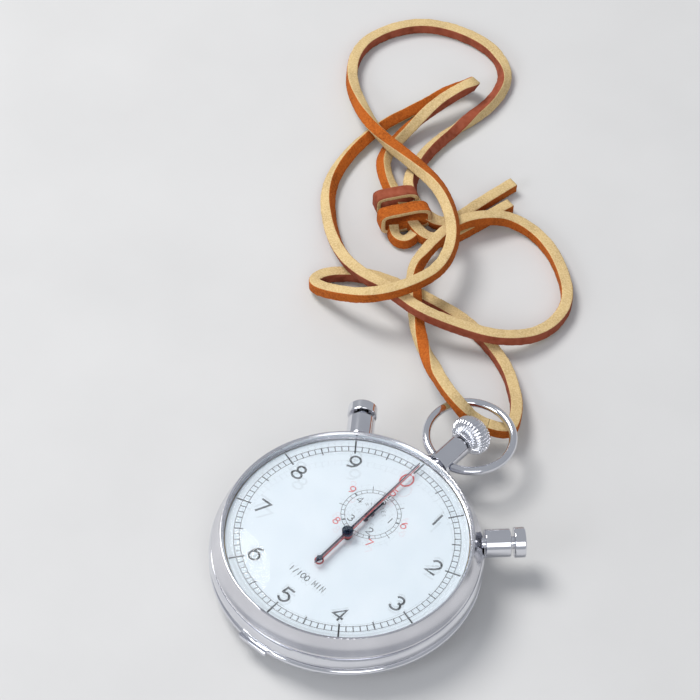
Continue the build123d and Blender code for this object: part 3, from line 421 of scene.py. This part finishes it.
def centreline(route, name):
    """Even points along the NURBS line of a route, in metres."""
    curve = bpy.data.curves.new(name, "CURVE")
    curve.dimensions = "3D"
    spline = curve.splines.new("NURBS")
    spline.points.add(len(route) - 1)
    for point, place in zip(spline.points, route):
        point.co = (*(Vector(place) * MM), 1.0)
    spline.order_u = 3
    spline.use_endpoint_u = True
    spline.resolution_u = 24
    holder = bpy.data.objects.new(name, curve)
    bpy.context.scene.collection.objects.link(holder)
    bpy.context.view_layer.update()
    mesh = bpy.data.meshes.new_from_object(holder)
    raw = np.array([v.co for v in mesh.vertices], float)
    bpy.data.objects.remove(holder)
    bpy.data.meshes.remove(mesh)
    travelled = np.concatenate(([0.0], np.cumsum(np.linalg.norm(np.diff(raw, axis=0), axis=1))))
    count = int(travelled[-1] / (0.45 * MM))
    steps = np.linspace(0, travelled[-1], count)
    points = np.stack([np.interp(steps, travelled, raw[:, k]) for k in range(3)], 1)
    share = np.interp(steps, travelled, np.linspace(0, len(route) - 1, len(raw)))
    return points, share, float(travelled[-1])


def thong_section(half_width, half_height, corner=0.28 * MM):
    """Rounded square outline and each edge's face: 0 above and below, 1 and 2 at the sides."""
    outline, kinds = [], []
    corners = ((1, 1), (-1, 1), (-1, -1), (1, -1))
    face = (0, 1, 0, 2)
    for index, (sx, sy) in enumerate(corners):
        cx, cy = sx * (half_width - corner), sy * (half_height - corner)
        start = 90 * index
        for step in range(3):
            angle = radians(start + 45 * step)
            outline.append((cx + corner * cos(angle), cy + corner * sin(angle)))
            kinds.append(face[index - 1] if step == 0 else face[index])
        nx, ny = corners[(index + 1) % 4]
        tx, ty = nx * (half_width - corner), ny * (half_height - corner)
        last = outline[-1]
        angle = radians(start + 90)
        goal = (tx + corner * cos(angle), ty + corner * sin(angle))
        for step in range(1, SIDE_STEPS):
            k = step / SIDE_STEPS
            outline.append((last[0] + (goal[0] - last[0]) * k, last[1] + (goal[1] - last[1]) * k))
            kinds.append(face[index])
    return outline, kinds


def thong(
    name, points, rolls, half_width, half_height, materials, closed=False, fuzz=0.07 * MM, body="case"
):
    """Square-cut thong along a line; materials are for the faces of thong_section.

    closed is the axis of a ring of thong, whose two open sides are filled, or False.
    """
    outline, kinds = thong_section(half_width, half_height)
    ring = len(outline)
    count = len(points)
    vertices, faces, picks = [], [], []
    if closed:
        tangents = np.roll(points, -1, 0) - np.roll(points, 1, 0)
    else:
        tangents = np.gradient(points, axis=0)
    for index in range(count):
        ahead = Vector(tangents[index]).normalized()
        side = ahead.cross(Vector((0, 0, 1)))
        if closed:
            side = closed.copy()
        side.normalize()
        up = side.cross(ahead).normalized()
        c, s = cos(rolls[index]), sin(rolls[index])
        across, above = side * c + up * s, up * c - side * s
        centre = Vector(points[index])
        for u, v in outline:
            spot = centre + across * u + above * v
            wear = noise.noise(spot * 2200) * fuzz + noise.noise(spot * 600) * fuzz
            away = (across * u + above * v).normalized()
            spot = spot + away * wear
            spot.z = max(spot.z, 0.0)
            vertices.append(spot)
    for index in range(count if closed else count - 1):
        after = (index + 1) % count
        for k in range(ring):
            n = (k + 1) % ring
            faces.append((index * ring + k, after * ring + k, after * ring + n, index * ring + n))
            picks.append(kinds[k])
    if closed:
        inner = min(range(ring), key=lambda k: outline[k][1] * 10 - outline[k][0])
        other = min(range(ring), key=lambda k: outline[k][1] * 10 + outline[k][0])
        # The two caps that fill the ring's open sides take the first, dark band material as painted
        # shade inside the wrap.
        faces.append(tuple(index * ring + inner for index in range(count)))
        faces.append(tuple(index * ring + other for index in reversed(range(count))))
        picks += [0, 0]
    else:
        faces.append(tuple(range(ring)))
        faces.append(tuple((count - 1) * ring + k for k in reversed(range(ring))))
        picks += [0, 0]
    obj = mesh_piece(name, vertices, faces, materials, body, smooth=True)
    obj.data.polygons.foreach_set("material_index", picks)
    return obj


def lace_half(name, route, roll, sides, nodes):
    """One half of the lace as a thong along its route, in place of its CAD node."""
    points, share, length = centreline(route, name + "_line")
    rolls = np.radians(np.interp(share, [r[0] for r in roll], [r[1] for r in roll]))
    window = np.ones(7) / 7
    rolls = np.convolve(np.pad(rolls, 3, mode="edge"), window, mode="valid")
    obj = thong(name, points, rolls, LACE / 2, LACE / 2, [CUT_EDGE, *sides], body=None)
    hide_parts(*nodes)
    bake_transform(obj)
    return obj


def signed_power(value, power):
    """Power of a value's size that keeps its sign."""
    return abs(value) ** power * (1 if value >= 0 else -1)


def wrap(name, centre, direction, half_width, top, materials):
    """One turn of the knot: a flat band that goes over and under both strands."""
    along = Vector((cos(radians(direction)), sin(radians(direction)), 0))
    axis = Vector((along.y, -along.x, 0))
    bottom = 1.0 * MM
    pitch = 0.5 * MM
    points = []
    for step in range(BAND_STEPS):
        angle = 2 * pi * step / BAND_STEPS
        out = half_width * signed_power(cos(angle), 0.5)
        lift = (top - bottom) / 2 * signed_power(sin(angle), 0.4)
        middle = Vector((centre[0], centre[1], (top + bottom) / 2 + lift))
        points.append(middle + along * out + axis * (pitch * cos(angle)))
    rolls = np.zeros(len(points))
    return thong(name, np.array(points), rolls, BAND_HALF_WIDTH, BAND_HALF_THICK, materials, closed=axis)


def bight(name, places):
    """Short loop of thong that shows below the knot."""
    points = centreline(places, name + "_line")[0]
    rolls = np.full(len(points), radians(12))
    return thong(name, points, rolls, BIGHT_HALF, BIGHT_HALF, [CUT_EDGE, SUEDE, SUEDE])


def make_crown():
    """Onion crown with deep flutes that run out towards its top."""
    rings = [(2.2, 36.2, 0.0), (2.75, 36.25, 0.2)]
    for step in range(23):
        angle = radians(-62 + 152 * step / 22)
        depth = max(0.0, min(0.42, 0.30 - 0.34 * sin(angle)))
        place = CROWN_MIDDLE + CROWN_HALF * sin(angle)
        rings.append((CROWN_RADIUS * abs(cos(angle)) ** 0.85, place, depth))
    around = CROWN_FLUTES * FLUTE_STEPS
    vertices = []
    for radius, place, depth in rings[:-1]:
        for step in range(around):
            groove = (0.5 - 0.5 * cos(2 * pi * step / FLUTE_STEPS)) ** 1.6
            reach = radius - depth * groove
            turn = 2 * pi * step / around
            vertices.append((reach * cos(turn) * MM, place * MM, (STEM_Z + reach * sin(turn)) * MM))
    faces = []
    for index in range(len(rings) - 2):
        for step in range(around):
            a, b = index * around + step, index * around + (step + 1) % around
            faces.append((a, b, b + around, a + around))
    faces.append(tuple(range(around)))
    faces.append(tuple((len(rings) - 2) * around + step for step in reversed(range(around))))
    crown = mesh_piece("crown_onion", vertices, faces, [CHROME], "winder", smooth=True)
    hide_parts("crown")


def make_lace():
    """Both halves, the two wraps of the knot and its bight."""
    # Each band's first material also fills its wrap's open sides as painted shade.
    grain_band, suede_band = [GRAIN, CUT_EDGE, CUT_EDGE], [SUEDE, CUT_EDGE, CUT_EDGE]
    first = wrap("knot_wrap_upper", (-0.0578, 0.0825), 60, 4.4 * MM, 5.9 * MM, grain_band)
    second = wrap("knot_wrap_lower", (-0.0529, 0.0798), 60, 5.4 * MM, 6.2 * MM, suede_band)
    loop = bight("knot_bight", KNOT_BIGHT)
    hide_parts("lace_knot")
    lace_half("lace_left_half", LACE_LEFT, ROLL_LEFT, (SUEDE, GRAIN), ["lace_left"])
    lace_half("lace_right_half", LACE_RIGHT, ROLL_RIGHT, (GRAIN, SUEDE), ["lace_right"])


# ---------------------------------------------------------------- studio
def soft_light(name, place, target, size, power, colour=(1.0, 1.0, 1.0)):
    """Round area light aimed at a point."""
    light = bpy.data.lights.new(name, "AREA")
    light.shape = "DISK"
    light.size = size
    light.energy = power
    light.color = colour
    obj = bpy.data.objects.new(name, light)
    obj.location = place
    obj.rotation_mode = "QUATERNION"
    obj.rotation_quaternion = (Vector(target) - Vector(place)).to_track_quat("-Z", "Y")
    bpy.context.scene.collection.objects.link(obj)


def make_studio():
    """Pale floor, soft lights and the camera."""
    half = 3.0
    mesh = bpy.data.meshes.new("floor")
    corners = [(x * half, y * half, FLOOR_Z) for x, y in ((-1, -1), (1, -1), (1, 1), (-1, 1))]
    mesh.from_pydata(corners, [], [(0, 1, 2, 3)])
    mesh.materials.append(FLOOR)
    floor = bpy.data.objects.new("floor", mesh)
    bpy.context.scene.collection.objects.link(floor)
    world = bpy.data.worlds.new("studio")
    world.use_nodes = True
    world.node_tree.nodes["Background"].inputs["Color"].default_value = (0.86, 0.89, 0.95, 1.0)
    world.node_tree.nodes["Background"].inputs["Strength"].default_value = 0.48
    bpy.context.scene.world = world
    target = (-0.02, 0.05, 0.0)
    bpy.context.scene.view_settings.view_transform = "Standard"
    soft_light("key", (-0.62, 0.02, 0.86), target, 0.50, 8.0, (1.0, 0.98, 0.95))
    soft_light("side", (-0.20, -0.75, 0.45), target, 0.40, 2.0, (0.92, 0.95, 1.0))
    soft_light("front", (0.55, -0.45, 0.60), target, 0.50, 1.5)
    camera = bpy.data.cameras.new("camera")
    camera.lens = 135.6
    camera.sensor_width = 36.0
    camera.clip_start, camera.clip_end = 0.01, 20.0
    obj = bpy.data.objects.new("camera", camera)
    right = Vector((0.75018, 0.66070, 0.02666)).normalized()
    back = Vector((0.40718, -0.49335, 0.76865)).normalized()
    up = back.cross(right).normalized()
    turn = Matrix((right, up, back)).transposed()
    obj.matrix_world = Matrix.Translation((0.19606, -0.23916, 0.44194)) @ turn.to_4x4()
    bpy.context.scene.collection.objects.link(obj)
    bpy.context.scene.camera = obj


dress_cad()
print_dial()
make_crown()
make_lace()
make_studio()
